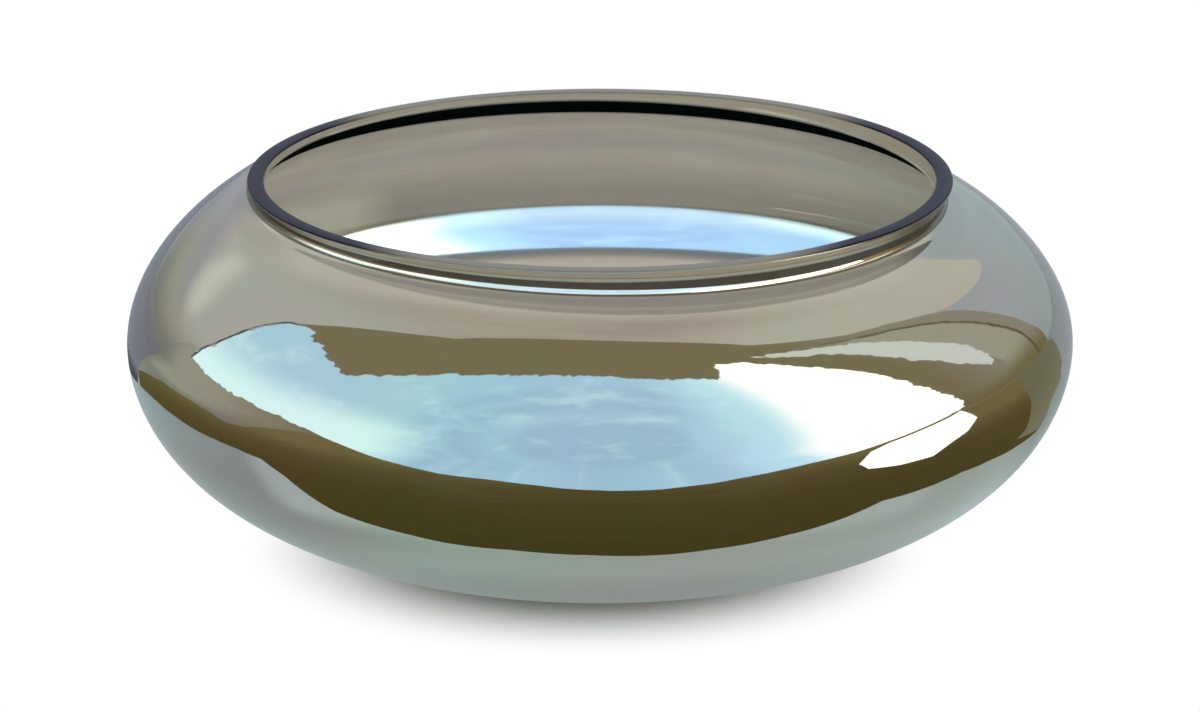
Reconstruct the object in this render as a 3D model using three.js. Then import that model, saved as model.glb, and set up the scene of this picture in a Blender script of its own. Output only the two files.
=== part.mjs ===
// A wide, low bowl of blown glass with a smoky gold lustre. The whole bowl is one piece of glass, so it
// is one turned body: a ground foot, a full belly, a shoulder that draws in, and a short thick collar
// with a ground rim. Millimetres, +Z up. The origin is the middle of the face that the bowl stands on.
import * as THREE from "three";

// Driving dimensions of the outside.
const bellyRadius = 150; // half of the greatest width
const bellyHeight = 63.6; // from the table to the widest circle
const bulgeRadius = 33.7; // how tightly the wall is curved at its widest circle, seen in section
const footRadius = 60; // edge of the ground face that it stands on
const footSlope = THREE.MathUtils.degToRad(6.6); // of the wall where it leaves the foot
const bellyFullness = 0.851; // share of the way from foot to belly that the lower curve holds that slope
const mouthRadius = 111; // outside of the collar's lip
const shoulderRise = 46.5; // from the widest circle up to the top of the shoulder
const shoulderReach = 1.2; // how far out the top of the shoulder lies from the lip
const shoulderSlope = THREE.MathUtils.degToRad(18); // of the wall at the top of the shoulder
const shoulderFullness = 0.3; // share of the way down to the belly that a shoulder curve holds that slope
const collarHeight = 5.8; // from the top of the shoulder up to the rim
const overhang = THREE.MathUtils.degToRad(30); // how far the collar's wall leans in below the lip
const grooveRadius = 1.6; // of the hollow under the collar
const runoutRadius = 6; // where that hollow runs out into the shoulder
const runoutAngle = THREE.MathUtils.degToRad(42); // how far up the hollow faces where the runout begins

// Driving dimensions of the glass and the inside.
const rimWidth = 5.2; // thickness of the collar, which is the width of the rim
const lipRadius = 0.5; // rounding of the rim's outer edge
const arrisRadius = 0.8; // rounding of its inner edge
const collarDepth = 4.1; // height of the upright wall inside the collar
const flareWidth = 8; // how far out the inside flares below that wall, to meet the shoulder's inside
const flareDrop = 6.4; // and how far down
const sideThickness = 5.8; // between the widest circles of the inside and the outside, measured level
const cavityRise = 7.9; // how much higher up the inside is widest; it is dished below that
const cavityHandle = 15; // how upright the inside stays above that circle
const floorThickness = 12.5; // at the middle of the floor, over the face that it stands on
const hollowRadius = 44; // edge of the shallow hollow ground into the foot
const hollowDepth = 1.5; // of that hollow at its middle

// How finely the curves are cut.
const turnSegments = 64;
const wallSteps = 9;
const dishSteps = 14;
const shortSteps = 3;
const halvings = 40; // of a search for a place on a curve

const onAxis = (height) => new THREE.Vector2(0, height);

// A direction in the section, by its angle above the line that points away from the axis.
const heading = (angle) => new THREE.Vector2(Math.cos(angle), Math.sin(angle));

// The lower and the upper curve meet at the belly with the same radius of curvature, so that a mirror
// finish shows no line there. A cubic curve whose next handle lies a given distance in from the belly
// has that radius when its first handle has this length.
const bellyHandle = (distanceIn) => Math.sqrt((2 / 3) * distanceIn * bulgeRadius);
const belly = new THREE.Vector2(bellyRadius, bellyHeight);

const footEdge = new THREE.Vector2(footRadius, 0);
const footReach = (bellyFullness * (bellyRadius - footRadius)) / Math.cos(footSlope);
const footHandle = heading(footSlope).multiplyScalar(footReach).add(footEdge);
const lowerCurve = new THREE.CubicBezierCurve(
  footEdge,
  footHandle,
  belly.clone().sub(new THREE.Vector2(0, bellyHandle(bellyRadius - footHandle.x))),
  belly,
);

// A curve that leaves a shoulder's top along its slope has its first handle here.
function shoulderHandle(top, widest) {
  const span = shoulderFullness * (widest - top.x);
  return top.clone().add(new THREE.Vector2(span, -span * Math.tan(shoulderSlope)));
}

const shoulderTop = new THREE.Vector2(mouthRadius + shoulderReach, bellyHeight + shoulderRise);
const outerHandle = shoulderHandle(shoulderTop, bellyRadius);
const upperCurve = new THREE.CubicBezierCurve(
  belly,
  belly.clone().add(new THREE.Vector2(0, bellyHandle(bellyRadius - outerHandle.x))),
  outerHandle,
  shoulderTop,
);

// The rim is ground flat, and its two edges are rounded.
const rimHeight = shoulderTop.y + collarHeight;
const innerRadius = mouthRadius - rimWidth;
function roundEdge(radius, rounding, from, to) {
  const height = rimHeight - rounding;
  return new THREE.EllipseCurve(radius, height, rounding, rounding, from, to, false);
}
const lip = roundEdge(mouthRadius - lipRadius, lipRadius, -overhang, Math.PI / 2);
const arris = roundEdge(innerRadius + arrisRadius, arrisRadius, Math.PI / 2, Math.PI);

// Below the lip the collar's wall leans in, and two hollow arcs turn it into the shoulder. Its foot is
// where the wider arc touches the shoulder's slope.
const wallFacing = heading(-overhang);
const wallDown = heading(-Math.PI / 2 - overhang);
const shoulderFacing = heading(Math.PI / 2 - shoulderSlope);
const wallTop = lip.getPoint(0);
const arcStep = runoutRadius - grooveRadius;
const overShoulder =
  wallTop.clone().sub(shoulderTop).dot(shoulderFacing) +
  grooveRadius * wallFacing.dot(shoulderFacing) +
  arcStep * Math.cos(Math.PI / 2 - shoulderSlope - runoutAngle) -
  runoutRadius;
const wallFoot = wallTop
  .clone()
  .addScaledVector(wallDown, -overShoulder / wallDown.dot(shoulderFacing));
const grooveCentre = wallFoot.clone().addScaledVector(wallFacing, grooveRadius);
const runoutCentre = grooveCentre.clone().addScaledVector(heading(runoutAngle), arcStep);
function hollowArc(centre, radius, from, to) {
  return new THREE.EllipseCurve(
    centre.x,
    centre.y,
    radius,
    radius,
    Math.PI + from,
    Math.PI + to,
    true,
  );
}
const runout = hollowArc(runoutCentre, runoutRadius, Math.PI / 2 - shoulderSlope, runoutAngle);
const groove = hollowArc(grooveCentre, grooveRadius, runoutAngle, -overhang);

// How far along the upper curve the runout takes over, found by halving.
function shareAtRadius(radius) {
  let low = 0;
  let high = 1;
  for (let i = 0; i < halvings; i++) {
    const middle = (low + high) / 2;
    if (upperCurve.getPoint(middle).x > radius) low = middle;
    else high = middle;
  }
  return low;
}
const runoutShare = shareAtRadius(runout.getPoint(0).x);
const upperPoints = Array.from({ length: wallSteps }, (_, i) =>
  upperCurve.getPoint((runoutShare * i) / wallSteps),
);

// Inside the collar the wall is upright. Below its sharp lower edge the glass flares out to the inside
// of the shoulder.
const collarEdge = new THREE.Vector2(innerRadius, rimHeight - collarDepth);
const flareEnd = collarEdge.clone().add(new THREE.Vector2(flareWidth, -flareDrop));
const flare = new THREE.QuadraticBezierCurve(
  collarEdge,
  new THREE.Vector2(
    innerRadius + flareWidth / 2,
    flareEnd.y + (flareWidth / 2) * Math.tan(shoulderSlope),
  ),
  flareEnd,
);

// The inside is a dish: half of an ellipse below its widest circle, and a shoulder above it.
const cavity = new THREE.Vector2(bellyRadius - sideThickness, bellyHeight + cavityRise);
const insideShoulder = new THREE.CubicBezierCurve(
  flareEnd,
  shoulderHandle(flareEnd, cavity.x),
  cavity.clone().add(new THREE.Vector2(0, cavityHandle)),
  cavity,
);
const dish = new THREE.EllipseCurve(
  0,
  cavity.y,
  cavity.x,
  cavity.y - floorThickness,
  0,
  -Math.PI / 2,
  true,
);

// The foot is a flat ring round a shallow hollow.
const footHollow = new THREE.QuadraticBezierCurve(
  onAxis(hollowDepth),
  new THREE.Vector2(hollowRadius / 2, hollowDepth),
  new THREE.Vector2(hollowRadius, 0),
);

// One closed outline: from the axis under the foot, out and up to the rim, then down the inside to the
// axis again. A point that two stretches share is taken once.
const outline = [
  ...footHollow.getPoints(shortSteps),
  ...lowerCurve.getPoints(wallSteps),
  ...upperPoints.slice(1),
  ...runout.getPoints(shortSteps),
  ...groove.getPoints(shortSteps).slice(1),
  ...lip.getPoints(shortSteps),
  ...arris.getPoints(shortSteps),
  ...flare.getPoints(shortSteps),
  ...insideShoulder.getPoints(wallSteps).slice(1),
  ...dish.getPoints(dishSteps).slice(1, -1),
  onAxis(floorThickness),
];

// A lathe turns about Y, so the turned body is stood up on Z.
const turned = new THREE.LatheGeometry(outline, turnSegments);
turned.rotateX(Math.PI / 2);

const lustreGlass = new THREE.MeshStandardMaterial({
  color: 0x8d8671,
  roughness: 0.06,
  metalness: 0.7,
});

const glassBowl = new THREE.Mesh(turned, lustreGlass);
glassBowl.name = "glass_bowl";

const bowl = new THREE.Group();
bowl.name = "lustre_bowl";
bowl.add(glassBowl);

export default bowl;
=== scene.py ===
import math

import bmesh
import bpy
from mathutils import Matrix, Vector, noise
from mathutils.geometry import interpolate_bezier


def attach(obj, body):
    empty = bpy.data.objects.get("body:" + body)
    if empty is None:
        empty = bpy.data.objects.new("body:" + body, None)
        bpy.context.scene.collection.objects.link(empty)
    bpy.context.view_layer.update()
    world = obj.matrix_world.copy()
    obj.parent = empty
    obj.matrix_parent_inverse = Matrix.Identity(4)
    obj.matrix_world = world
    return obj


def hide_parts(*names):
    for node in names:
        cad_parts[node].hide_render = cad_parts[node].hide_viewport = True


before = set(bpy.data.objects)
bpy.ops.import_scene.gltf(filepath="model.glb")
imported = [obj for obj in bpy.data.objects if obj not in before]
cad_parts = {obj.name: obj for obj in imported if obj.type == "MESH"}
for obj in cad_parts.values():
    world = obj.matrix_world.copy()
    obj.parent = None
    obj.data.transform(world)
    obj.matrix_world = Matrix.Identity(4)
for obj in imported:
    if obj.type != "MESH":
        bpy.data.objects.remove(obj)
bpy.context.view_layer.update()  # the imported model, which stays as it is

# A wide, low bowl of blown glass with a smoky gold lustre, on a pale floor in soft studio light.

scene = bpy.context.scene
scene.view_settings.view_transform = "Standard"


# The camera stands where the photograph was taken from: in front, a little above the rim.
camera = {
    "lens": 131.5,
    "sensor": 36.0,
    "elevation": math.radians(17.37),
    "distance": 1.4,
    "aimHeight": 0.0556,
    "clipStart": 0.05,
    "clipEnd": 50.0,
}


def addCamera(c):
    data = bpy.data.cameras.new("camera")
    data.lens = c["lens"]
    data.sensor_width = c["sensor"]
    data.clip_start = c["clipStart"]
    data.clip_end = c["clipEnd"]
    cam = bpy.data.objects.new("camera", data)
    scene.collection.objects.link(cam)
    back = Vector((0.0, -math.cos(c["elevation"]), math.sin(c["elevation"])))
    cam.location = Vector((0.0, 0.0, c["aimHeight"])) + back * c["distance"]
    cam.rotation_euler = (-back).to_track_quat("-Z", "Y").to_euler()
    scene.camera = cam


addCamera(camera)
print("camera set")


# Small helpers for node trees. A value is the output of a node, or a plain number, vector or colour.
def newMaterial(name):
    mat = bpy.data.materials.new(name)
    mat.use_nodes = True
    mat.node_tree.nodes.clear()
    return mat, mat.node_tree


def feed(tree, socket, value):
    if isinstance(value, bpy.types.NodeSocket):
        tree.links.new(value, socket)
    elif socket.type == "RGBA":
        socket.default_value = (*value, 1.0)
    else:
        socket.default_value = value


def addNode(tree, kind, **settings):
    # each setting is an input of the node, or else a property
    node = tree.nodes.new(kind)
    for key, value in settings.items():
        if key in node.inputs:
            feed(tree, node.inputs[key], value)
        else:
            setattr(node, key, value)
    return node


def mathNode(tree, operation, *values, clamp=False):
    node = addNode(tree, "ShaderNodeMath", operation=operation, use_clamp=clamp)
    for socket, value in zip(node.inputs, values):
        feed(tree, socket, value)
    return node.outputs[0]


def times(tree, first, *others):
    for other in others:
        first = mathNode(tree, "MULTIPLY", first, other)
    return first


def vectorNode(tree, operation, *values):
    node = addNode(tree, "ShaderNodeVectorMath", operation=operation)
    for socket, value in zip(node.inputs, values):
        feed(tree, socket, value)
    return node.outputs


def mixed(tree, factor, first, second):
    # two colours mixed by a factor; the node's colour sockets are its seventh and eighth
    node = addNode(tree, "ShaderNodeMix", data_type="RGBA")
    for socket, value in zip((node.inputs[0], *node.inputs[6:8]), (factor, first, second)):
        feed(tree, socket, value)
    return node.outputs[2]


def stepped(tree, value, start, end, most=1.0):
    # 0 up to the start, and smoothly up to the most at the end
    limits = {"From Min": start, "From Max": end, "To Max": most}
    node = addNode(tree, "ShaderNodeMapRange", interpolation_type="SMOOTHSTEP", Value=value, **limits)
    return node.outputs["Result"]


def swept(tree, turn, start, end):
    # the same over an azimuth, with both ends in degrees
    return stepped(tree, turn, math.radians(start), math.radians(end))


def objectPlace(tree):
    return tree.nodes.new("ShaderNodeTexCoord").outputs["Object"]


def axesOf(tree, vector):
    return tuple(addNode(tree, "ShaderNodeSeparateXYZ", Vector=vector).outputs)


def direction(tree):
    # the direction from the middle of the floor to the point being shaded
    return vectorNode(tree, "NORMALIZE", objectPlace(tree))["Vector"]


def aimed(azimuth, elevation):
    # the direction at an azimuth, 0 towards the camera and rising to the right, and an elevation
    a, e = math.radians(azimuth), math.radians(elevation)
    return Vector((math.sin(a) * math.cos(e), -math.cos(a) * math.cos(e), math.sin(e)))


def dotted(tree, across, fixed):
    return vectorNode(tree, "DOT_PRODUCT", across, fixed)["Value"]


def turned(tree, x, y):
    # the azimuth of the point being shaded, in radians
    return mathNode(tree, "ARCTAN2", x, times(tree, y, -1.0))


def distanceOut(tree, stretch=(1.0, 1.0, 1.0), shift=(0.0, 0.0, 0.0)):
    # how far the point being shaded is from the middle of the floor
    scaled = vectorNode(tree, "MULTIPLY_ADD", objectPlace(tree), stretch, shift)["Vector"]
    return vectorNode(tree, "LENGTH", scaled)["Value"]


def clouds(tree, place, settings):
    return addNode(tree, "ShaderNodeTexNoise", Vector=place, **settings).outputs["Fac"]


def ramp(tree, factor, stops):
    node = addNode(tree, "ShaderNodeValToRGB", Fac=factor)
    marks = node.color_ramp.elements
    while len(marks) < len(stops):
        marks.new(0.5)
    for mark, (spot, colour) in zip(marks, stops):
        mark.position = spot
        mark.color = (*colour, 1.0)
    return node.outputs["Color"]


def named(colours, stops):
    # stops for a ramp, from pairs of a spot and a colour's name
    return [(spot, colours[name]) for spot, name in stops]


def toOutput(tree, kind, factor, first, second):
    # the first shader, turning into the second where the factor is 1
    mix = addNode(tree, "ShaderNodeMixShader", Fac=factor)
    tree.links.new(first.outputs[0], mix.inputs[1])
    tree.links.new(second.outputs[0], mix.inputs[2])
    tree.links.new(mix.outputs[0], tree.nodes.new(kind).inputs["Surface"])


# The studio: a pale floor, a white surround, and cards that only the glass sees.
studioWhite = (1.0, 1.0, 1.0)

floorSettings = {
    "reach": 30.0,
    "corners": 96,
    "colour": (0.93, 0.93, 0.925),
    "shadowStretch": (0.90, 1.0, 1.0),  # the soft shadow is a little wider than deep
    "shadowShift": (0.0036, 0.024, 0.0),  # and lies a little to the left and towards the front
    "toWhite": (0.050, 0.100),  # from here to here the camera sees the floor turn to plain white
    "toWhiteInGloss": (0.30, 0.70),  # and from here to here the mirror finish does
}


def floorMaterial(f):
    mat, tree = newMaterial("pale_floor")
    diffuse = addNode(tree, "ShaderNodeBsdfDiffuse", Color=f["colour"])
    white = addNode(tree, "ShaderNodeEmission", Color=studioWhite)
    rays = tree.nodes.new("ShaderNodeLightPath").outputs
    shadow = distanceOut(tree, f["shadowStretch"], f["shadowShift"])
    near = times(tree, rays["Is Camera Ray"], stepped(tree, shadow, *f["toWhite"]))
    seen = mathNode(tree, "MAXIMUM", rays["Is Glossy Ray"], rays["Is Transmission Ray"])
    far = times(tree, seen, stepped(tree, distanceOut(tree), *f["toWhiteInGloss"]))
    factor = mathNode(tree, "MAXIMUM", near, far)
    toOutput(tree, "ShaderNodeOutputMaterial", factor, diffuse, white)
    return mat


def meshObject(name, bm, material):
    mesh = bpy.data.meshes.new(name)
    bm.to_mesh(mesh)
    bm.free()
    mesh.materials.append(material)
    piece = bpy.data.objects.new(name, mesh)
    scene.collection.objects.link(piece)
    return piece


def addFloor(f):
    bm = bmesh.new()
    bmesh.ops.create_circle(bm, cap_ends=True, segments=f["corners"], radius=f["reach"])
    meshObject("studio_floor", bm, floorMaterial(f))


addFloor(floorSettings)


worldSettings = {
    "white": 1.0,  # what the camera, the gloss and the glass see
    "fill": 0.62,  # what lights the floor and the bowl from all round
}


def addWorld(w):
    world = bpy.data.worlds.new("studio")
    scene.world = world
    world.use_nodes = True
    tree = world.node_tree
    tree.nodes.clear()
    fill, white = (addNode(tree, "ShaderNodeBackground", Color=studioWhite, Strength=w[name])
                   for name in ("fill", "white"))
    rays = tree.nodes.new("ShaderNodeLightPath").outputs
    seen = mathNode(tree, "MAXIMUM", rays["Is Camera Ray"], rays["Is Glossy Ray"])
    seen = mathNode(tree, "MAXIMUM", seen, rays["Is Transmission Ray"])
    toOutput(tree, "ShaderNodeOutputWorld", seen, fill, white)


addWorld(worldSettings)


def cardMaterial(name, paint):
    # a card that glows by itself; its paint is a plain colour, or a function that builds one in nodes
    mat, tree = newMaterial(name)
    light = addNode(tree, "ShaderNodeEmission", Color=paint(tree) if callable(paint) else paint)
    out = tree.nodes.new("ShaderNodeOutputMaterial")
    tree.links.new(light.outputs[0], out.inputs["Surface"])
    return mat


def onlyInGloss(card):
    # a card is there for the mirror finish: it isn't in the picture, lights nothing and casts no shadow
    card.visible_camera = False
    card.visible_diffuse = False
    card.visible_shadow = False


# A wrapped card is an outline in degrees, azimuth 0 towards the camera and rising to the right, and the
# elevation, laid on a dome round the bowl. A card nearer to the bowl hides those behind it.
wrapping = {
    "stripWidth": 5.0,  # degrees; a card is cut into strips this wide, so that it follows the dome
    "cornerStep": 1.2,  # degrees from corner to corner of a rough edge
    "waveLength": 1.3,  # of its waves, in corner steps
    "noiseLevel": 3.7,
}


def roughened(outline, rough):
    # the same outline with more corners, each pushed a little to one side
    step = wrapping["cornerStep"]
    line = []
    for first, second in zip(outline, outline[1:] + outline[:1]):
        a, b = Vector(first), Vector(second)
        count = max(1, round((b - a).length / step))
        side = (b - a).orthogonal().normalized()
        for i in range(count):
            p = a.lerp(b, i / count)
            spot = Vector((p.x, p.y, wrapping["noiseLevel"])) / (wrapping["waveLength"] * step)
            push = noise.noise(spot) if i else 0.0
            line.append(tuple(p + side * (push * rough)))
    return line


def cutIntoStrips(bm, outline):
    width = wrapping["stripWidth"]
    for axis in (0, 1):
        spread = [corner[axis] for corner in outline]
        normal = Vector((1.0 - axis, float(axis), 0.0))
        at = math.ceil(min(spread) / width) * width
        while at < max(spread):
            bmesh.ops.bisect_plane(bm, geom=bm.verts[:] + bm.edges[:] + bm.faces[:],
                                   plane_co=normal * at, plane_no=normal)
            at += width


def wrappedCard(name, outline, material, radius, rough=0.0):
    if rough:
        outline = roughened(outline, rough)
    bm = bmesh.new()
    bm.faces.new([bm.verts.new((a, e, 0.0)) for a, e in outline])
    cutIntoStrips(bm, outline)
    bmesh.ops.triangulate(bm, faces=bm.faces[:])
    for v in bm.verts:
        v.co = aimed(v.co.x, v.co.y) * radius
    onlyInGloss(meshObject(name, bm, material))


# A level card is an outline in metres. A higher card hides those under it.
def levelCard(name, outline, material, height):
    bm = bmesh.new()
    bm.faces.new([bm.verts.new((x, y, height)) for x, y in outline])
    onlyInGloss(meshObject(name, bm, material))


# The cards' colours. A part above 1 glows brighter than the white surround.
cardColours = {
    "taupe": (0.79, 0.76, 0.68),
    "taupeDim": (0.6636, 0.6384, 0.5712),
    "taupeLeft": (0.77, 0.83, 0.85),
    "taupeRight": (0.88, 0.90, 0.84),
    "taupePatch": (1.15, 1.22, 1.18),
    "lilac": (0.53, 0.57, 0.68),
    "lilacLow": (0.40, 0.44, 0.53),
    "lilacLeft": (0.28, 0.315, 0.39),
    "lilacRight": (0.42, 0.46, 0.53),
    "lilacEnd": (0.09, 0.10, 0.10),
    "haze": (0.57, 0.61, 0.53),
    "hazeEnd": (0.33, 0.36, 0.36),
    "hazeBrown": (0.44, 0.43, 0.33),
    "brown": (0.33, 0.30, 0.165),
    "brownLow": (0.30, 0.26, 0.11),
    "brownPale": (1.15, 1.32, 1.36),
    "brownDark": (0.22, 0.19, 0.11),
    "slate": (0.63, 0.72, 0.84),
    "slateLow": (0.53, 0.64, 0.69),
    "side": (0.62, 0.66, 0.55),
    "sideDim": (0.47, 0.46, 0.38),
    "sideLow": (0.28, 0.285, 0.19),
    "olive": (0.10, 0.086, 0.026),
    "oliveOut": (0.16, 0.13, 0.045),
    "pale": (0.54, 0.66, 0.68),
    "paleLeft": (0.46, 0.57, 0.64),
    "paleSide": (0.41, 0.48, 0.50),
    "paleNear": (0.37, 0.42, 0.42),
    "paleRim": (0.64, 0.81, 0.86),
    "paleBack": (0.38, 0.47, 0.47),
    "paleFoot": (0.24, 0.26, 0.22),
    "edge": (0.10, 0.11, 0.11),
    "sky": (0.67, 1.14, 1.70),
    "skyLight": (0.76, 1.28, 1.88),
    "skyLeft": (0.79, 1.38, 1.84),
    "skyGlow": (1.45, 2.20, 2.45),
    "skyRight": (1.05, 1.75, 2.30),
    "white": (2.9, 3.0, 3.1),
}


# Where the cards' colours meet. Each fade is where it starts and where it is full, and for some how strong
# it is there: over the direction's x to the right, y to the back or z up, over the azimuth in degrees,
# over the distance out in metres, or over the clouds.
fades = {
    "taupeClouds": {"Scale": 3.0, "Detail": 3.0},
    "taupeStops": [(0.38, "taupeDim"), (0.62, "taupe")],
    "taupeLeft": (-0.15, -0.6),
    "taupeRight": (0.08, 0.4),
    "lilacBack": (0.59, 0.70),
    "lilacTop": (0.44, 0.27),
    "lilacLow": (0.15, 0.0),
    "hazeLeft": (-0.3, -0.5),
    "hazeTop": (0.34, 0.14),
    "hazeEndTop": (0.22, 0.03),
    "hazeEndBack": (0.46, 0.60),
    "streakClouds": (0.30, 0.55),
    "streakStart": (-129.0, 17.0),  # azimuth and elevation
    "streakEnd": (-145.0, 29.0),
    "streakWidth": 9.0,  # degrees
    "streakMost": 0.75,
    "streakReach": (1.25, 0.55),  # where it begins and where it is full, in halves of its length
    "sideEdge": (88.0, 106.0),
    "sideLow": (0.26, 0.04, 0.95),
    "flagEdge": (90.0, 117.0),
    "flagLow": (0.20, 0.0),
    "slateLow": (0.35, 0.0),
    "hazeStart": (-128.0, -117.0),
    "hazeToBrown": (-104.0, -80.0),
    "hazeNear": (0.70, 0.45, 0.75),
    "hazeToBoard": (-82.0, -66.0),
    "boardStops": [(0.15, "olive"), (0.27, "oliveOut"), (0.5, "brownLow")],
    "ringMiddle": (0.0, 20.0),  # azimuth and elevation
    "ringStops": [(0.0, "skyLight"), (0.70, "skyLight"), (0.76, "sky"), (0.80, "skyLight"),
                  (0.84, "sky"), (0.92, "skyLight"), (0.95, "sky")],
    "glowTop": (0.56, 0.20),
    "skyLeft": (-34.0, -58.0),
    "skyRight": (16.0, 42.0),
    "skyClouds": {"Scale": 5.0, "Detail": 5.0, "Roughness": 0.6},
    "skyGlow": (0.50, 0.72, 0.35),
    "skyWhite": (40.0, 60.0),
    # the island's painted shadow of the bowl, darkest by the foot
    "paintedFootShadowStops": [(0.072, "paleFoot"), (0.100, "paleNear"), (0.130, "pale")],
    "paleBack": (-0.035, 0.03),  # this one and the next three are in metres along x or y
    "paleSide": (-0.05, -0.12),
    "paleLeft": (-0.15, -0.22),
    "rimFront": (-0.08, -0.105),
    "rimOut": (0.144, 0.164),
    "backRight": (-0.3, 0.3),
    "backNear": (0.31, 0.25),
    "backLeft": (-0.3, -0.6),
}


def streak(tree, across, f):
    # 1 on the arc between two directions, fading out at its sides and ends
    a, b = aimed(*f["streakStart"]), aimed(*f["streakEnd"])
    off = mathNode(tree, "ABSOLUTE", dotted(tree, across, a.cross(b).normalized()))
    along = dotted(tree, across, (a + b).normalized())
    ends = [math.cos(a.angle(b) / 2 * reach) for reach in f["streakReach"]]
    side = stepped(tree, off, math.sin(math.radians(f["streakWidth"])), 0.0, f["streakMost"])
    return times(tree, side, stepped(tree, along, *ends))


def addCards(c, f):
    def surround(tree):
        # taupe with a light streak on the left, slate low down at the back, and haze low on the left
        across = direction(tree)
        x, y, up = axesOf(tree, across)
        cloud = clouds(tree, across, f["taupeClouds"])
        paint = ramp(tree, cloud, named(c, f["taupeStops"]))
        paint = mixed(tree, stepped(tree, x, *f["taupeLeft"]), paint, c["taupeLeft"])
        paint = mixed(tree, stepped(tree, x, *f["taupeRight"]), paint, c["taupeRight"])
        slate = mixed(tree, stepped(tree, up, *f["lilacLow"]), c["lilac"], c["lilacLow"])
        back = times(tree, stepped(tree, y, *f["lilacBack"]), stepped(tree, up, *f["lilacTop"]))
        paint = mixed(tree, back, paint, slate)
        left = stepped(tree, x, *f["hazeLeft"])
        haze = times(tree, stepped(tree, up, *f["hazeTop"]), left)
        paint = mixed(tree, haze, paint, c["haze"])
        dark = times(tree, stepped(tree, up, *f["hazeEndTop"]), left, stepped(tree, y, *f["hazeEndBack"]))
        paint = mixed(tree, dark, paint, c["hazeEnd"])
        patch = times(tree, stepped(tree, cloud, *f["streakClouds"]), streak(tree, across, f))
        return mixed(tree, patch, paint, c["taupePatch"])

    def brownCloth(tree, colour, edge, low):
        # brown, fading into another colour to the right and into a darker brown near the floor
        x, y, up = axesOf(tree, direction(tree))
        paint = mixed(tree, swept(tree, turned(tree, x, y), *f[edge]), c["brown"], c[colour])
        return mixed(tree, stepped(tree, up, *f[low]), paint, c["brownLow"])

    def sideCloth(tree):
        return brownCloth(tree, "side", "sideEdge", "sideLow")

    def flagCloth(tree):
        return brownCloth(tree, "sideDim", "flagEdge", "flagLow")

    def slateCloth(tree):
        up = axesOf(tree, direction(tree))[2]
        return mixed(tree, stepped(tree, up, *f["slateLow"]), c["slate"], c["slateLow"])

    def hazePaint(tree):
        # from the surround's colour to the board's
        turn = turned(tree, *axesOf(tree, direction(tree))[:2])
        paint = mixed(tree, swept(tree, turn, *f["hazeStart"]), c["hazeEnd"], c["haze"])
        paint = mixed(tree, swept(tree, turn, *f["hazeToBrown"]), paint, c["hazeBrown"])
        paint = mixed(tree, stepped(tree, distanceOut(tree), *f["hazeNear"]), paint, c["hazeEnd"])
        return mixed(tree, swept(tree, turn, *f["hazeToBoard"]), paint, c["brown"])

    def boardPaint(tree):
        # darkest near the bowl
        return ramp(tree, distanceOut(tree), named(c, f["boardStops"]))

    def softCloth(tree):
        # cool in the middle with faint rings, glowing low down on the left, and white to the right
        across = direction(tree)
        x, y, up = axesOf(tree, across)
        turn = turned(tree, x, y)
        rings = ramp(tree, dotted(tree, across, aimed(*f["ringMiddle"])), named(c, f["ringStops"]))
        left = mixed(tree, stepped(tree, up, *f["glowTop"]), c["skyLeft"], c["skyGlow"])
        paint = mixed(tree, swept(tree, turn, *f["skyLeft"]), rings, left)
        paint = mixed(tree, swept(tree, turn, *f["skyRight"]), paint, c["skyRight"])
        cloud = clouds(tree, across, f["skyClouds"])
        paint = mixed(tree, stepped(tree, cloud, *f["skyGlow"]), paint, c["skyGlow"])
        return mixed(tree, swept(tree, turn, *f["skyWhite"]), paint, c["white"])

    def islandPaint(tree):
        # darker by the foot, where the bowl's shadow is painted on, darker at the back, cooler to the
        # left, and bright along its front rim
        x, y = axesOf(tree, objectPlace(tree))[:2]
        paint = ramp(tree, distanceOut(tree), named(c, f["paintedFootShadowStops"]))
        paint = mixed(tree, stepped(tree, y, *f["paleBack"]), paint, c["paleBack"])
        paint = mixed(tree, stepped(tree, x, *f["paleSide"]), paint, c["paleSide"])
        paint = mixed(tree, stepped(tree, x, *f["paleLeft"]), paint, c["paleLeft"])
        rim = times(tree, stepped(tree, distanceOut(tree), *f["rimOut"]), stepped(tree, y, *f["rimFront"]))
        return mixed(tree, rim, paint, c["paleRim"])

    def backPaint(tree):
        # paler to the right, and dark where it ends near the bowl on the left
        x = axesOf(tree, direction(tree))[0]
        near = times(tree, stepped(tree, distanceOut(tree), *f["backNear"]),
                     stepped(tree, x, *f["backLeft"]))
        paint = mixed(tree, stepped(tree, x, *f["backRight"]), c["lilacLeft"], c["lilacRight"])
        return mixed(tree, near, paint, c["lilacEnd"])

    dome = [(-180, -4), (180, -4), (180, 90), (-180, 90)]
    wrappedCard("surround_card", dome, cardMaterial("surround_cloth", surround), radius=9.0)
    flag = [(-112, -4), (-112, 42), (-109.5, 49), (-107, 61), (-101, 72), (-93, 81), (-84, 85.5),
            (-60, 87.5), (0, 88), (50, 88), (80, 86), (92, 78), (101, 63.5), (108, 54.4), (116.5, 48),
            (122, 41.5), (125.5, 35.5), (127.9, 26.3), (129.5, 19.5), (131.5, 12.3), (134.4, 4.7),
            (136, -4)]
    wrappedCard("flag_card", flag, cardMaterial("flag_cloth", flagCloth), radius=8.4)
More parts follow.
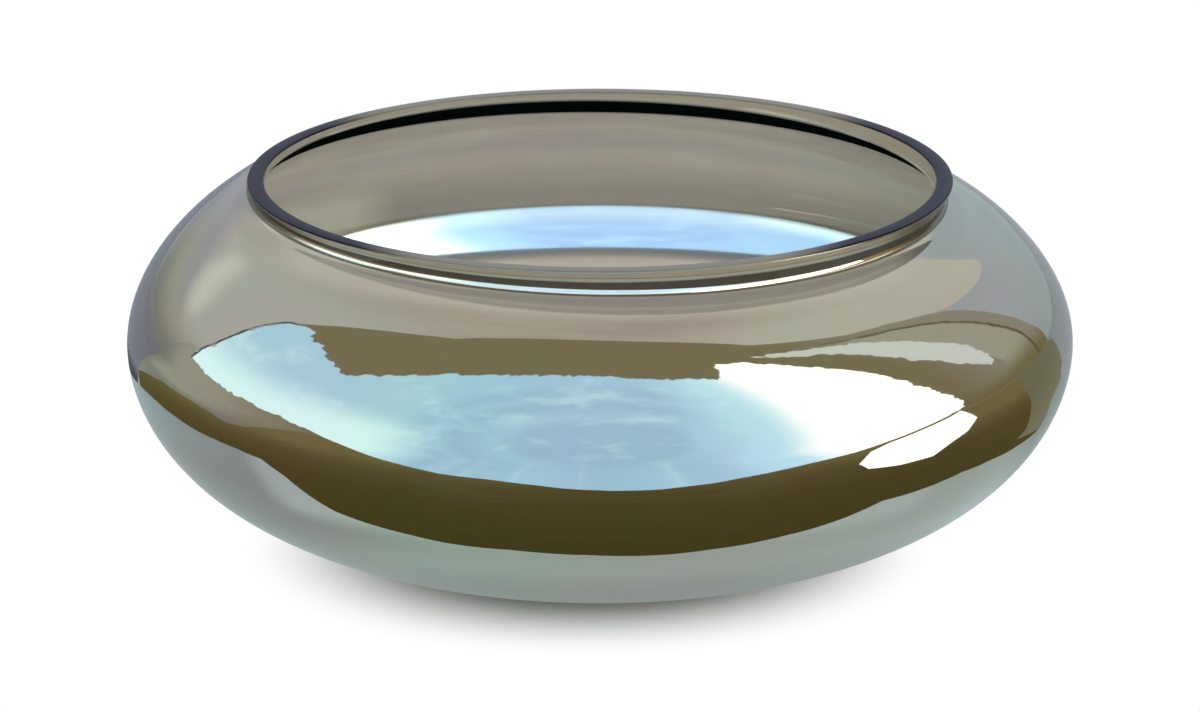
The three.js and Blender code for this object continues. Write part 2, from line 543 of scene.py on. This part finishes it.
    # the flag goes on overhead, as an oval
    halfWidth, halfDepth, corners = 3.4, 1.0, 48
    turns = [math.tau * i / corners for i in range(corners)]
    overhead = [(halfWidth * math.cos(t), halfDepth * math.sin(t)) for t in turns]
    levelCard("flag_top", overhead, cardMaterial("flag_top_cloth", c["brown"]), height=8.3)
    beside = [(84, 61), (88.5, 59), (91.6, 56.6), (95.3, 52.8), (99.7, 50.4), (103.4, 46), (106.2, 38.5),
              (109.6, 30.8), (110.5, 24.5), (111.5, 18.9), (114.2, 11.7), (115.5, 3.6), (116, -4),
              (129, -4), (127.3, 6.7), (125.8, 14.8), (123.7, 21.8), (121.9, 29), (119.2, 36.3),
              (116.6, 40.5), (111.8, 46.3), (105.2, 51.4), (97, 57.8), (90, 64)]
    wrappedCard("flag_side", beside, cardMaterial("flag_side_cloth", sideCloth), radius=8.3)
    slate = [(104, 59), (108, 54.4), (116.5, 48), (121.8, 42.5), (125.8, 37), (128, 35), (131.5, 32.6),
             (135.5, 30), (138.5, 28.4), (143, 26), (147, 24.4), (150, 24), (151.8, 25.6), (153.3, 28.2),
             (156.8, 31), (162, 33), (168, 32), (172, 26), (174, 16), (174, -4), (112, -4)]
    wrappedCard("slate_card", slate, cardMaterial("slate_cloth", slateCloth), radius=8.6)
    haze = [(-128, -4), (-60, -4), (-66, 5), (-80, 12), (-118, 14), (-124, 8)]
    hazeMaterial = cardMaterial("haze_paint", hazePaint)
    wrappedCard("haze_card", haze, hazeMaterial, radius=8.2)
    strip = [(76, 66), (83, 64.2), (88, 61.8), (93, 58.6), (97.5, 55), (101.5, 51.5),
             (105.2, 47), (108, 39.5), (111, 31.5), (112, 25), (112.4, 19.5), (111.5, 15.5),
             (109.4, 14.5), (105.6, 20.4), (101.4, 28.6), (96.2, 41.2),
             (95, 47), (92.5, 51.4), (88.5, 56.8), (84, 60)]
    wrappedCard("light_strip", strip, cardMaterial("strip_paint", c["brownPale"]), radius=8.1, rough=1.4)
    line = [(97, 57.6), (105.2, 51.4), (111.8, 46.3), (116.6, 40.5), (119.2, 36.3), (121.9, 29),
            (123.7, 21.8), (125.8, 14.8), (127.3, 6.7), (129, -4), (130.4, -4), (128.5, 6.7),
            (126.9, 14.8), (124.7, 21.8), (122.7, 29), (119.9, 36.6), (117.2, 41.2), (112.3, 47),
            (105.4, 52.1), (97, 58.1)]
    wrappedCard("dark_line", line, cardMaterial("dark_paint", c["brownDark"]), radius=8.05, rough=0.5)
    soft = [(-66, -4), (-65.6, -0.7), (-71, 3), (-78.3, 5.3), (-90.2, 7.2), (-98.8, 7.8), (-106.3, 8.6),
            (-115, 9.6), (-114.1, 15.6), (-112.7, 21.4), (-112.7, 36.9), (-111.9, 42.5), (-109.6, 45.4),
            (-108.1, 46.2), (-95.3, 45.6), (-87.3, 44.1), (-76.7, 41.9), (-70, 49), (-57, 60),
            (-40, 66), (-20, 70), (0, 71), (20, 69), (37, 65.5), (49, 62.5), (59, 68.5), (70, 65),
            (80, 52.5), (85.5, 38), (87.5, 24), (91, 13), (94, 5), (94, 1.4), (88.5, 0.3), (88, -4)]
    wrappedCard("softbox", soft, cardMaterial("soft_cloth", softCloth), radius=7.8, rough=1.6)
    edge = [(-115.8, 9.6), (-114.9, 15.6), (-113.4, 21.4), (-113.4, 36.9), (-112.6, 42.8), (-109.6, 46.0),
            (-109.6, 45.4), (-111.9, 42.5), (-112.7, 36.9), (-112.7, 21.4), (-114.1, 15.6), (-115, 9.6)]
    wrappedCard("softbox_edge", edge, cardMaterial("edge_paint", c["edge"]), radius=7.75, rough=0.5)

    island = [(-0.32, -0.20), (0.25, -0.20), (0.25, 0.20), (-0.32, 0.20)]
    levelCard("floor_island", island, cardMaterial("island_paint", islandPaint), height=0.0002)
    backFloor = [(-0.22, 0.11), (-0.26, 0.145), (-0.6, 0.30), (-7.0, 4.9), (-7.0, 7.0), (7.0, 7.0),
                 (7.0, 6.7), (1.205, 1.158), (0.443, 0.342), (0.291, 0.18), (0.23, 0.12),
                 (0.12, 0.19), (-0.14, 0.19)]
    levelCard("floor_back", backFloor, cardMaterial("back_paint", backPaint), height=0.0004)
    hazeFloor = [(-0.26, 0.145), (-0.315, 0.151), (-0.42, 0.155), (-0.46, 0.12), (-0.49, 0.07),
                 (-0.47, 0.0), (-0.41, -0.06), (-0.47, -0.10), (-0.6, -0.13), (-1.3, -0.38),
                 (-7.0, -2.4), (-7.0, 5.6), (-0.9, 0.63)]
    levelCard("floor_haze", hazeFloor, hazeMaterial, height=0.0005)
    board = [(-7.0, -7.0), (7.0, -7.0), (7.0, 6.7), (1.205, 1.158), (0.443, 0.342), (0.291, 0.18),
             (0.245, 0.123), (0.232, 0.091), (0.224, 0.068), (0.202, 0.048), (0.187, 0.024),
             (0.184, -0.012), (0.178, -0.044), (0.168, -0.073), (0.156, -0.088), (0.140, -0.106),
             (0.128, -0.119), (0.099, -0.128), (0.075, -0.135), (0.043, -0.142), (-0.005, -0.147),
             (-0.035, -0.145), (-0.076, -0.134), (-0.114, -0.121), (-0.133, -0.118),
             (-0.166, -0.115), (-0.204, -0.104), (-0.222, -0.080), (-0.231, -0.055),
             (-0.238, -0.026), (-0.246, 0.011), (-0.248, 0.059), (-0.240, 0.081), (-0.226, 0.104),
             (-0.26, 0.145), (-0.315, 0.151), (-0.42, 0.155), (-0.46, 0.12), (-0.49, 0.07),
             (-0.47, 0.0), (-0.41, -0.06), (-0.47, -0.10), (-0.6, -0.13), (-1.3, -0.38),
             (-7.0, -2.4)]
    levelCard("floor_board", board, cardMaterial("board_paint", boardPaint), height=0.0006)
    sideFloor = [(0.197, -0.013), (0.206, 0.004), (0.231, 0.019), (0.273, 0.039), (0.458, 0.117),
                 (7.0, 3.34), (7.0, 6.7), (1.205, 1.158), (0.443, 0.342), (0.291, 0.18),
                 (0.245, 0.123), (0.232, 0.091), (0.224, 0.068), (0.202, 0.048), (0.190, 0.024)]
    levelCard("floor_side", sideFloor, cardMaterial("side_paint", c["sideLow"]), height=0.0007)
    apron = [(-7.0, -3.1), (-1.6, -0.90), (-0.65, -0.495), (-0.36, -0.376), (-0.254, -0.343),
             (-0.189, -0.322), (-0.125, -0.331), (-0.092, -0.324), (-0.062, -0.312),
             (-0.035, -0.297), (-0.012, -0.287), (0.009, -0.28), (0.052, -0.281), (0.104, -0.293),
             (0.143, -0.309), (0.228, -0.322), (0.296, -0.335), (0.38, -0.335), (0.58, -0.342),
             (1.4, -0.36), (7.0, -0.25), (7.0, -7.0), (-7.0, -7.0)]
    levelCard("floor_apron", apron, cardMaterial("apron_cloth", softCloth), height=0.0008)
    patch = [(0.195, -0.174), (0.226, -0.203), (0.38, -0.262), (0.566, -0.292), (0.907, -0.28),
             (2.5, -0.1), (6.0, 0.2), (1.4, 0.003), (0.49, -0.038), (0.328, -0.074),
             (0.268, -0.098), (0.218, -0.114), (0.200, -0.142)]
    levelCard("floor_patch", patch, cardMaterial("white_paint", c["white"]), height=0.0010)


addCards(cardColours, fades)
print("studio built")


# The bowl's section, in metres. The same driving sizes as the solid's, but for a sharper inner edge.
bowl = {
    "bellyRadius": 0.150,
    "bellyHeight": 0.0636,
    "bulgeRadius": 0.0337,
    "footRadius": 0.060,
    "footSlope": math.radians(6.6),
    "bellyFullness": 0.851,
    "mouthRadius": 0.111,
    "shoulderRise": 0.0465,
    "shoulderReach": 0.0012,
    "shoulderSlope": math.radians(18.0),
    "shoulderFullness": 0.3,
    "rimHeight": 0.1159,
    "rimWidth": 0.0052,
    "lipRadius": 0.0005,  # rounding of the rim's outer edge
    "arrisRadius": 0.0006,  # rounding of its inner edge
    "overhang": math.radians(30.0),  # how far the collar's wall leans in below the lip
    "grooveRadius": 0.0016,  # of the hollow under the collar
    "runoutRadius": 0.006,  # where that hollow runs out into the shoulder
    "runoutAngle": math.radians(42.0),
    "collarDepth": 0.0041,
    "flareWidth": 0.008,
    "flareDrop": 0.0064,
    "flareStart": (0.002, 0.003),  # how far out and down the flare's first handle lies
    "flareEnd": 0.003,  # and how far in the second
    "cavityRadius": 0.1442,  # the inside is at its widest higher up than the outside
    "cavityHeight": 0.0715,
    "cavityHandle": 0.015,
    "floorThickness": 0.0125,
    "hollowRadius": 0.044,
    "hollowDepth": 0.0015,
    # how finely it is cut
    "turnSteps": 256,
    "wallSteps": 44,
    "hollowSteps": 12,
    "runoutSteps": 7,
    "grooveSteps": 11,
    "lipSteps": 8,
    "arrisSteps": 6,
    "flarePoints": 9,
    "leastStep": 0.0004,  # from the shoulder's last point to the runout
    "sharpAngle": math.radians(28.0),
    "tiny": 1e-6,
    # where the films are
    "filmOnLip": 3,  # how many of the lip's points the outer film covers
    "collarReach": 0.009,  # how far out on the shoulder the collar's painted bands begin
    "shadeShares": (0.9, 0.65, 0.3),  # how the painted shade, a dark line under the collar, fades out inside
    # what the hand did: the groove isn't level, and the wall isn't quite even
    "tilt": 0.0021,  # how far the groove dips at its lowest side
    "tiltTowards": math.radians(35.0),  # azimuth of that side
    "sag": 0.0018,  # how much further the collar's foot sags on one side
    "sagTowards": math.radians(30.0),
    "sagFrom": 0.098,  # the height where the sag begins
    "sagLean": 0.35,  # share of the sag that moves the wall in or out
    "dipFull": 0.0030,  # how far below the rim the dip and the sag are full
    "dipEnd": 0.0012,  # and how far below it they end
    "leanReach": 0.126,  # how far from the axis the wall moves in or out
    "leanFade": 0.014,
    "ripple": 0.000035,  # how far the blown glass waves in and out
    "rippleScale": 55.0,
    "fineShare": 0.5,  # of a second ripple
    "fineScale": 2.7,  # which is this much finer
    "calmFoot": 0.004,  # the ripple fades in over this height, as far above the foot
    "calmTop": 0.108,  # and out over the same height, below this one
}


def bezier(a, b, c, d, count):
    points = interpolate_bezier(*(Vector((r, 0.0, z)) for r, z in (a, b, c, d)), count)
    return [(p.x, p.z) for p in points]


def heading(angle):
    return Vector((math.cos(angle), math.sin(angle)))


def arc(centre, radius, start, end, steps):
    angles = [start + (end - start) * i / steps for i in range(steps + 1)]
    return [tuple(centre + radius * heading(t)) for t in angles]


def clamped(share):
    return min(max(share, 0.0), 1.0)


def eased(share):
    return share * share * (3 - 2 * share)


def bowlSection(b):
    belly = (b["bellyRadius"], b["bellyHeight"])

    def handle(distanceIn):
        return math.sqrt(2.0 / 3.0 * distanceIn * b["bulgeRadius"])

    # outside, from the axis under the foot up to the shoulder
    shares = [i / b["hollowSteps"] for i in range(b["hollowSteps"] + 1)]
    hollow = [(b["hollowRadius"] * share, b["hollowDepth"] * (1 - share ** 2)) for share in shares]
    span = b["bellyFullness"] * (belly[0] - b["footRadius"])
    footHandle = (b["footRadius"] + span, span * math.tan(b["footSlope"]))
    lower = bezier((b["footRadius"], 0.0), footHandle,
                   (belly[0], belly[1] - handle(belly[0] - footHandle[0])), belly, b["wallSteps"])
    slope = math.tan(b["shoulderSlope"])
    shoulderTop = Vector((b["mouthRadius"] + b["shoulderReach"], belly[1] + b["shoulderRise"]))
    span = b["shoulderFullness"] * (belly[0] - shoulderTop.x)
    shoulderHandle = (shoulderTop.x + span, shoulderTop.y - span * slope)
    upper = bezier(belly, (belly[0], belly[1] + handle(belly[0] - shoulderHandle[0])),
                   shoulderHandle, tuple(shoulderTop), b["wallSteps"])

    # the lip, and the wall that leans in below it until it turns through the hollow to the shoulder
    lip, arris = b["lipRadius"], b["arrisRadius"]
    lipCentre = Vector((b["mouthRadius"] - lip, b["rimHeight"] - lip))
    wallTop = lipCentre + lip * heading(-b["overhang"])
    down = heading(-math.pi / 2 - b["overhang"])
    facing = heading(-b["overhang"])
    up = heading(math.pi / 2 - b["shoulderSlope"])
    turnSpan = math.cos(math.pi / 2 - b["shoulderSlope"] - b["runoutAngle"])
    tight, wide = b["grooveRadius"], b["runoutRadius"]
    excess = (wallTop - shoulderTop).dot(up) + tight * facing.dot(up)
    excess += (wide - tight) * turnSpan - wide
    wallFoot = wallTop + down * (excess / -down.dot(up))
    tightCentre = wallFoot + tight * facing
    wideCentre = tightCentre + (wide - tight) * heading(b["runoutAngle"])
    runoutSteps, grooveSteps = b["runoutSteps"], b["grooveSteps"]
    groove = arc(wideCentre, -wide, math.pi / 2 - b["shoulderSlope"], b["runoutAngle"],
                 runoutSteps)
    groove += arc(tightCentre, -tight, b["runoutAngle"], -b["overhang"], grooveSteps)[1:]
    start = groove[0][0]
    upper = [p for p in upper if p[0] > start + b["leastStep"]][1:]
    inner = b["mouthRadius"] - b["rimWidth"]
    arrisCentre = Vector((inner + arris, b["rimHeight"] - arris))
    lipArc = arc(lipCentre, lip, -b["overhang"], math.pi / 2, b["lipSteps"])
    arrisArc = arc(arrisCentre, arris, math.pi / 2, math.pi, b["arrisSteps"])

    # inside, from the collar's upright wall down to the axis
    collarEdge = (inner, b["rimHeight"] - b["collarDepth"])
    flareEnd = (inner + b["flareWidth"], collarEdge[1] - b["flareDrop"])
    out, drop = b["flareStart"]
    flare = bezier(collarEdge, (inner + out, collarEdge[1] - drop),
                   (flareEnd[0] - b["flareEnd"], flareEnd[1] + b["flareEnd"] * slope), flareEnd,
                   b["flarePoints"])
    cavity = (b["cavityRadius"], b["cavityHeight"])
    span = b["shoulderFullness"] * (cavity[0] - flareEnd[0])
    shoulder = bezier(flareEnd, (flareEnd[0] + span, flareEnd[1] - span * slope),
                      (cavity[0], cavity[1] + b["cavityHandle"]), cavity, b["wallSteps"])
    depth = cavity[1] - b["floorThickness"]
    turns = [math.pi / 2 * i / b["wallSteps"] for i in range(1, b["wallSteps"])]
    dish = [(cavity[0] * math.cos(t), cavity[1] - depth * math.sin(t)) for t in turns]

    # the way over the collar: 0 to 0.25 up the shoulder, to 0.5 over the runout, to 0.75 round the
    # groove, and to 1 up the wall
    way = [0.0] * len(hollow + lower)
    way += [0.25 * clamped((start + b["collarReach"] - r) / b["collarReach"]) for r, z in upper]
    way += [0.25 + 0.25 * i / runoutSteps for i in range(runoutSteps + 1)]
    way += [0.5 + 0.25 * i / grooveSteps for i in range(1, grooveSteps + 1)]
    way += [1.0] * b["filmOnLip"]
    # each stretch, and whether it carries the outer film, the inner film and the painted shade, a dark
    # line
    shadeEnd = 2 + len(b["shadeShares"])
    return [
        (hollow + lower + upper + groove + lipArc[:b["filmOnLip"]], (1.0, 0.0, 0.0), way),
        (lipArc[b["filmOnLip"]:] + arrisArc[:-1], (0.0, 0.0, 0.0), None),
        (arrisArc[-1:] + flare[:1], (0.0, 1.0, 0.0), None),
        (flare[1:] + shoulder[1:2], (0.0, 1.0, 1.0), None),
        *(([p], (0.0, 1.0, share), None) for p, share in zip(shoulder[2:shadeEnd], b["shadeShares"])),
        (shoulder[shadeEnd:] + dish + [(0.0, b["floorThickness"])], (0.0, 1.0, 0.0), None),
    ]


def shapeByHand(b, v, outside):
    # the groove dips towards one side, while the ground rim stays level
    away = math.hypot(v.co.x, v.co.y)
    if away < b["tiny"]:
        return
    low, high, end = b["bellyHeight"], b["rimHeight"] - b["dipFull"], b["rimHeight"] - b["dipEnd"]
    if v.co.z > high:
        share = sagShare = eased(clamped((end - v.co.z) / (end - high)))
    else:
        share = eased(clamped((v.co.z - low) / (high - low)))
        sagShare = clamped((v.co.z - b["sagFrom"]) / (high - b["sagFrom"]))
    azimuth = math.atan2(v.co.x, -v.co.y)
    dip = b["tilt"] * share * math.cos(azimuth - b["tiltTowards"])
    sag = b["sag"] * eased(sagShare) * ((1 + math.cos(azimuth - b["sagTowards"])) / 2) ** 2
    inward = 0.0
    if outside:
        # the collar's wall keeps its lean, so the groove under it also moves in or out
        lean = eased(clamped((b["leanReach"] - away) / b["leanFade"]))
        inward = math.tan(b["overhang"]) * (dip + b["sagLean"] * sag) * lean
        wave = noise.noise(v.co * b["rippleScale"])
        wave += b["fineShare"] * noise.noise(v.co * b["fineScale"] * b["rippleScale"])
        foot = b["calmFoot"]
        calm = clamped((v.co.z - foot) / foot) * clamped((b["calmTop"] - v.co.z) / foot)
        inward += b["ripple"] * calm * (1.0 + wave)
    v.co.z -= dip + sag
    v.co.x *= 1.0 - inward / away
    v.co.y *= 1.0 - inward / away


def addBowl(b, material):
    bm = bmesh.new()
    names = ("outer_film", "inner_film", "painted_shade", "collar_way")
    layers = [bm.verts.layers.float.new(name) for name in names]
    line = []
    for points, shares, way in bowlSection(b):
        for i, (r, z) in enumerate(points):
            v = bm.verts.new((r, 0.0, z))
            for layer, share in zip(layers, (*shares, way[i] if way else 0.0)):
                v[layer] = share
            line.append(v)
    edges = [bm.edges.new(pair) for pair in zip(line, line[1:])]
    bmesh.ops.spin(bm, geom=line + edges, cent=(0.0, 0.0, 0.0), axis=(0.0, 0.0, 1.0),
                   angle=math.tau, steps=b["turnSteps"], use_merge=True, use_duplicate=False)
    bmesh.ops.remove_doubles(bm, verts=bm.verts[:], dist=b["tiny"])
    bmesh.ops.recalc_face_normals(bm, faces=bm.faces[:])
    for v in bm.verts:
        shapeByHand(b, v, v[layers[0]] > 0.5)
    for face in bm.faces:
        face.smooth = True
    piece = meshObject("lustre_glass_bowl", bm, material)
    piece.data.set_sharp_from_angle(angle=b["sharpAngle"])
    return piece


# The glass. A fade is where it starts and where it is full, and for some how strong it is there.
glass = {
    # the outer film
    "gold": (0.515, 0.485, 0.405),
    "mauve": (0.53, 0.47, 0.42),
    "green": (0.475, 0.495, 0.41),
    "clouds": {"Scale": 14.0, "Detail": 3.0, "Roughness": 0.55},
    "filmStops": [(0.36, "green"), (0.5, "gold"), (0.66, "mauve")],
    "outerCover": 0.84,  # share of the light that the outer film stops, by its mirror or its smoke
    "filmRoughness": 0.03,
    # the inner film
    "insidePale": (0.88, 0.82, 0.71),
    "insideDim": (0.73, 0.68, 0.58),
    "insideMauve": (0.80, 0.67, 0.64),
    "insideGreen": (0.72, 0.76, 0.60),
    "insideLow": (0.50, 0.48, 0.41),
    "insideTan": (0.52, 0.47, 0.35),
    # painted light: a cream patch low on the left of the inside
    "insidePaintedLight": (1.0, 1.0, 0.78),
    # a painted reflection of the sky over the dish: a cool band with a white edge
    "paintedSkyBlue": (0.66, 0.74, 0.80),
    "paintedSkyWhite": (1.0, 0.97, 0.88),
    "insideBottom": (0.96, 0.89, 0.80),
    "grainStretch": (7.0, 7.0, 60.0),
    "grain": {"Scale": 1.6, "Detail": 3.0, "Roughness": 0.6},
    "grainStops": [(0.38, "insideDim"), (0.62, "insidePale")],
    "mauveClouds": (0.50, 0.64, 0.6),
    "greenClouds": (0.48, 0.36, 0.6),
    "levelScale": 10.0,  # the levels are in decimetres, because a ramp runs from 0 to 1
    "lowLevel": (0.88, 0.70, 0.95),
    "paintedLightLevel": (0.83, 0.72, 0.7),
    "paintedLightLeft": (-0.068, -0.088),
    "tanLevel": (1.108, 1.112, 0.9),
    "dishAndPaintedSkyStops": [(0.48, "insideBottom"), (0.50, "insideBottom"), (0.52, "paintedSkyBlue"),
                  (0.595, "paintedSkyBlue"), (0.63, "paintedSkyWhite")],
    "dishCurve": 3.7,  # how much lower the dish's colours and the painted sky end towards the left and right
    "overDish": (0.648, 0.662),
    "insideMirror": 0.55,
    "shoulderHaze": (0.0648, 0.0668, 0.35),
    "bottomHaze": (0.0515, 0.0485, 0.25),
    "innerCover": 0.86,
    "insideRoughness": 0.07,
    # the collar, along its way from the shoulder to the lip: a dull film painted in bands, pale haze with
    # painted light, painted reflections in brown, olive and grey, a painted highlight in the groove, and
    # tan near the lip
    # pale haze over the shoulder by the collar, with painted light standing in for a light arc
    "hazeAndPaintedLight": (0.80, 0.74, 0.65),
    "collarBrown": (0.12, 0.085, 0.035),
    # a brighter mirror tint in the groove, which paints up its highlight
    "paintedGrooveHighlight": (1.0, 0.76, 0.58),
    "collarOlive": (0.036, 0.022, 0.006),
    "collarGrey": (0.42, 0.44, 0.34),
    "collarTan": (0.44, 0.36, 0.24),
    "waver": 0.06,  # how far the grain moves the bands along the way
    "waverFrom": (0.76, 0.82),
    "dullStops": [(0.0, 0.0), (0.10, 0.45), (0.20, 0.62), (0.43, 0.62), (0.485, 0.85), (0.50, 0.0),
                  (0.66, 0.0), (0.685, 0.92), (0.985, 0.92), (1.0, 0.0)],
    "paintedBandStops": [(0.0, "hazeAndPaintedLight"), (0.42, "hazeAndPaintedLight"), (0.44, "collarBrown"),
                  (0.49, "collarBrown"), (0.50, "paintedGrooveHighlight"), (0.66, "paintedGrooveHighlight"),
                  (0.675, "collarOlive"), (0.82, "collarOlive"), (0.845, "collarGrey"),
                  (0.895, "collarGrey"), (0.903, "collarOlive"), (0.912, "collarTan"),
                  (1.0, "collarTan")],
    "thinEnds": (0.086, 0.106, 0.85),  # and how far out to the left and right olive painted shade covers the groove's highlight
    "thinBelow": (0.47, 0.43),
    "oliveEnds": (0.080, 0.098, 0.8),  # and how far the groove turns olive
    "oliveAbove": (0.44, 0.48),
    "grooveStart": (0.485, 0.505),
    "grooveStop": (0.685, 0.665),
    "collarGlossOut": (0.40, 0.48, 0.95),
    # the ground rim, with its painted slate shade at the ends, and the dark line, a painted shade under
    # the collar inside
    "rimPale": (0.20, 0.19, 0.14),
    # painted shade: the slate at the rim's left and right ends
    "rimPaintedShade": (0.0, 0.002, 0.022),
    "rimSkew": 0.11,  # share of the way to the back that shifts the ends of the painted slate shade
    "rimShadeEnds": (0.062, 0.084),
    "rimGlossOut": (0.045, 0.084, 0.9),
    "rimRoughness": 0.16,
    "dark": (0.003, 0.005, 0.005),
    # the glass itself
    "gloss": 0.5,
    "ior": 1.5,
    "clearAbove": (0.040, 0.075),  # the glass below is too thick to see through
}


def innerFilm(tree, g, place, cloud, grain):
    # faint level streaks, darker low down and tan near the rim, with a cream patch of painted light low on
    # the left; below them the dish's colours: pale at the bottom, under a painted reflection of the sky, a
    # cool band with a white edge
    x, _, z = axesOf(tree, place)
    level = times(tree, z, g["levelScale"])
    paint = ramp(tree, grain, named(g, g["grainStops"]))
    paint = mixed(tree, stepped(tree, cloud, *g["mauveClouds"]), paint, g["insideMauve"])
    paint = mixed(tree, stepped(tree, cloud, *g["greenClouds"]), paint, g["insideGreen"])
    paint = mixed(tree, stepped(tree, level, *g["lowLevel"]), paint, g["insideLow"])
    # the cream patch of painted light, low on the left
    paintedLight = times(tree, stepped(tree, level, *g["paintedLightLevel"]), stepped(tree, x, *g["paintedLightLeft"]))
    paint = mixed(tree, paintedLight, paint, g["insidePaintedLight"])
    paint = mixed(tree, stepped(tree, level, *g["tanLevel"]), paint, g["insideTan"])
    # the dish's pale bottom, with the painted reflection of the sky above it
    dish = ramp(tree, level, named(g, g["dishAndPaintedSkyStops"]))
    curved = mathNode(tree, "ADD", level, times(tree, x, x, g["dishCurve"]))
    paint = mixed(tree, stepped(tree, curved, *g["overDish"]), dish, paint)
    # the film is hazy in the shoulder and over the bottom, and clearest between them
    haze = mathNode(tree, "ADD", stepped(tree, z, *g["shoulderHaze"]), stepped(tree, z, *g["bottomHaze"]))
    return paint, mathNode(tree, "SUBTRACT", g["insideMirror"], haze)


def collarFilm(tree, g, sideways, way, grain, film):
    # round the collar the film is dull and painted in bands that stand in for the light on it: painted
    # reflections in brown, olive and grey, a brighter mirror tint that paints up the groove's highlight,
    # and olive painted shade over the groove and the wall at the left and right ends
    waver = times(tree, mathNode(tree, "SUBTRACT", grain, 0.5), g["waver"],
                  stepped(tree, way, *g["waverFrom"]))
    along = mathNode(tree, "ADD", way, waver)
    thin = times(tree, stepped(tree, sideways, *g["thinEnds"]), stepped(tree, way, *g["thinBelow"]))
    dull = ramp(tree, along, [(spot, (v, v, v)) for spot, v in g["dullStops"]])
    dull = times(tree, dull, mathNode(tree, "SUBTRACT", 1.0, thin))
    tips = times(tree, stepped(tree, way, *g["oliveAbove"]), stepped(tree, sideways, *g["oliveEnds"]))
    paintedBands = mixed(tree, tips, ramp(tree, along, named(g, g["paintedBandStops"])), g["collarOlive"])
    groove = times(tree, stepped(tree, way, *g["grooveStart"]), stepped(tree, way, *g["grooveStop"]))
    return mixed(tree, mathNode(tree, "MAXIMUM", dull, groove), film, paintedBands), dull


def lustreGlass(g):
    mat, tree = newMaterial("lustre_glass")
    place = objectPlace(tree)
    x, y, z = axesOf(tree, place)
    sideways = mathNode(tree, "ABSOLUTE", x)
    outer, inner, painted_shade, way = (
        addNode(tree, "ShaderNodeAttribute", attribute_name=name).outputs["Fac"]
        for name in ("outer_film", "inner_film", "painted_shade", "collar_way"))
    bright = mathNode(tree, "SUBTRACT", 1.0, painted_shade)
    cloud = clouds(tree, place, g["clouds"])
    flattened = addNode(tree, "ShaderNodeMapping", Vector=place, Scale=g["grainStretch"])
    grain = clouds(tree, flattened.outputs["Vector"], g["grain"])

    # the outer film has soft clouds of mauve and green in the gold
    film, dull = collarFilm(tree, g, sideways, way, grain, ramp(tree, cloud, named(g, g["filmStops"])))
    inside, keen = innerFilm(tree, g, place, cloud, grain)

    # the ground rim is painted with a slate shade at the left and right, where the glass is seen end on
    skewed = mathNode(tree, "SUBTRACT", sideways, times(tree, y, g["rimSkew"]))
    rim = mixed(tree, stepped(tree, skewed, *g["rimShadeEnds"]), g["rimPale"], g["rimPaintedShade"])
    colour = mixed(tree, outer, mixed(tree, inner, rim, inside), film)

    # the mirror, and the plain gloss, which goes out on the collar's painted bands, on the rim's painted
    # slate shade and in the dark line of painted shade
    sheen = times(tree, outer, mathNode(tree, "SUBTRACT", 1.0, dull))
    mirror = mathNode(tree, "ADD", sheen, times(tree, inner, keen))
    ground = mathNode(tree, "SUBTRACT", mathNode(tree, "SUBTRACT", 1.0, outer), inner)
    gloss = mathNode(tree, "SUBTRACT", bright, stepped(tree, way, *g["collarGlossOut"]))
    slate = times(tree, ground, stepped(tree, skewed, *g["rimGlossOut"]))
    gloss = mathNode(tree, "SUBTRACT", gloss, slate)

    # the films let some light through, but not over the thick base
    clear = mathNode(tree, "ADD", times(tree, outer, 1.0 - g["outerCover"]),
                     times(tree, inner, 1.0 - g["innerCover"]))
    clear = times(tree, clear, stepped(tree, z, *g["clearAbove"]), bright)

    rough = mathNode(tree, "ADD", times(tree, outer, g["filmRoughness"] - g["rimRoughness"]),
                     times(tree, inner, g["insideRoughness"] - g["rimRoughness"]))
    # where the painted shade is, the colour turns near black and the mirror, gloss and see-through go out
    shader = addNode(tree, "ShaderNodeBsdfPrincipled", **{
        "Base Color": mixed(tree, painted_shade, colour, g["dark"]),
        "Metallic": times(tree, mirror, bright),
        "Specular IOR Level": mathNode(tree, "MULTIPLY", gloss, g["gloss"], clamp=True),
        "Alpha": mathNode(tree, "SUBTRACT", 1.0, clear),
        "Roughness": mathNode(tree, "ADD", rough, g["rimRoughness"]),
        "IOR": g["ior"],
    })
    out = tree.nodes.new("ShaderNodeOutputMaterial")
    tree.links.new(shader.outputs[0], out.inputs["Surface"])
    return mat


bowlPiece = addBowl(bowl, lustreGlass(glass))
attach(bowlPiece, "root")
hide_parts("glass_bowl")
print("bowl made:", len(bowlPiece.data.polygons), "faces")


# The lamp: one broad soft light in front and above. The mirror finish doesn't show it.
lamp = {
    "power": 26.0,
    "size": 2.4,
    "place": (0.0, -2.6, 2.0),
}


def addLamp(p):
    data = bpy.data.lights.new("soft_lamp", "AREA")
    data.energy = p["power"]
    data.size = p["size"]
    light = bpy.data.objects.new("soft_lamp", data)
    scene.collection.objects.link(light)
    light.location = p["place"]
    light.rotation_euler = (-Vector(p["place"])).to_track_quat("-Z", "Y").to_euler()
    light.visible_camera = False
    light.visible_glossy = False
    light.visible_transmission = False


addLamp(lamp)
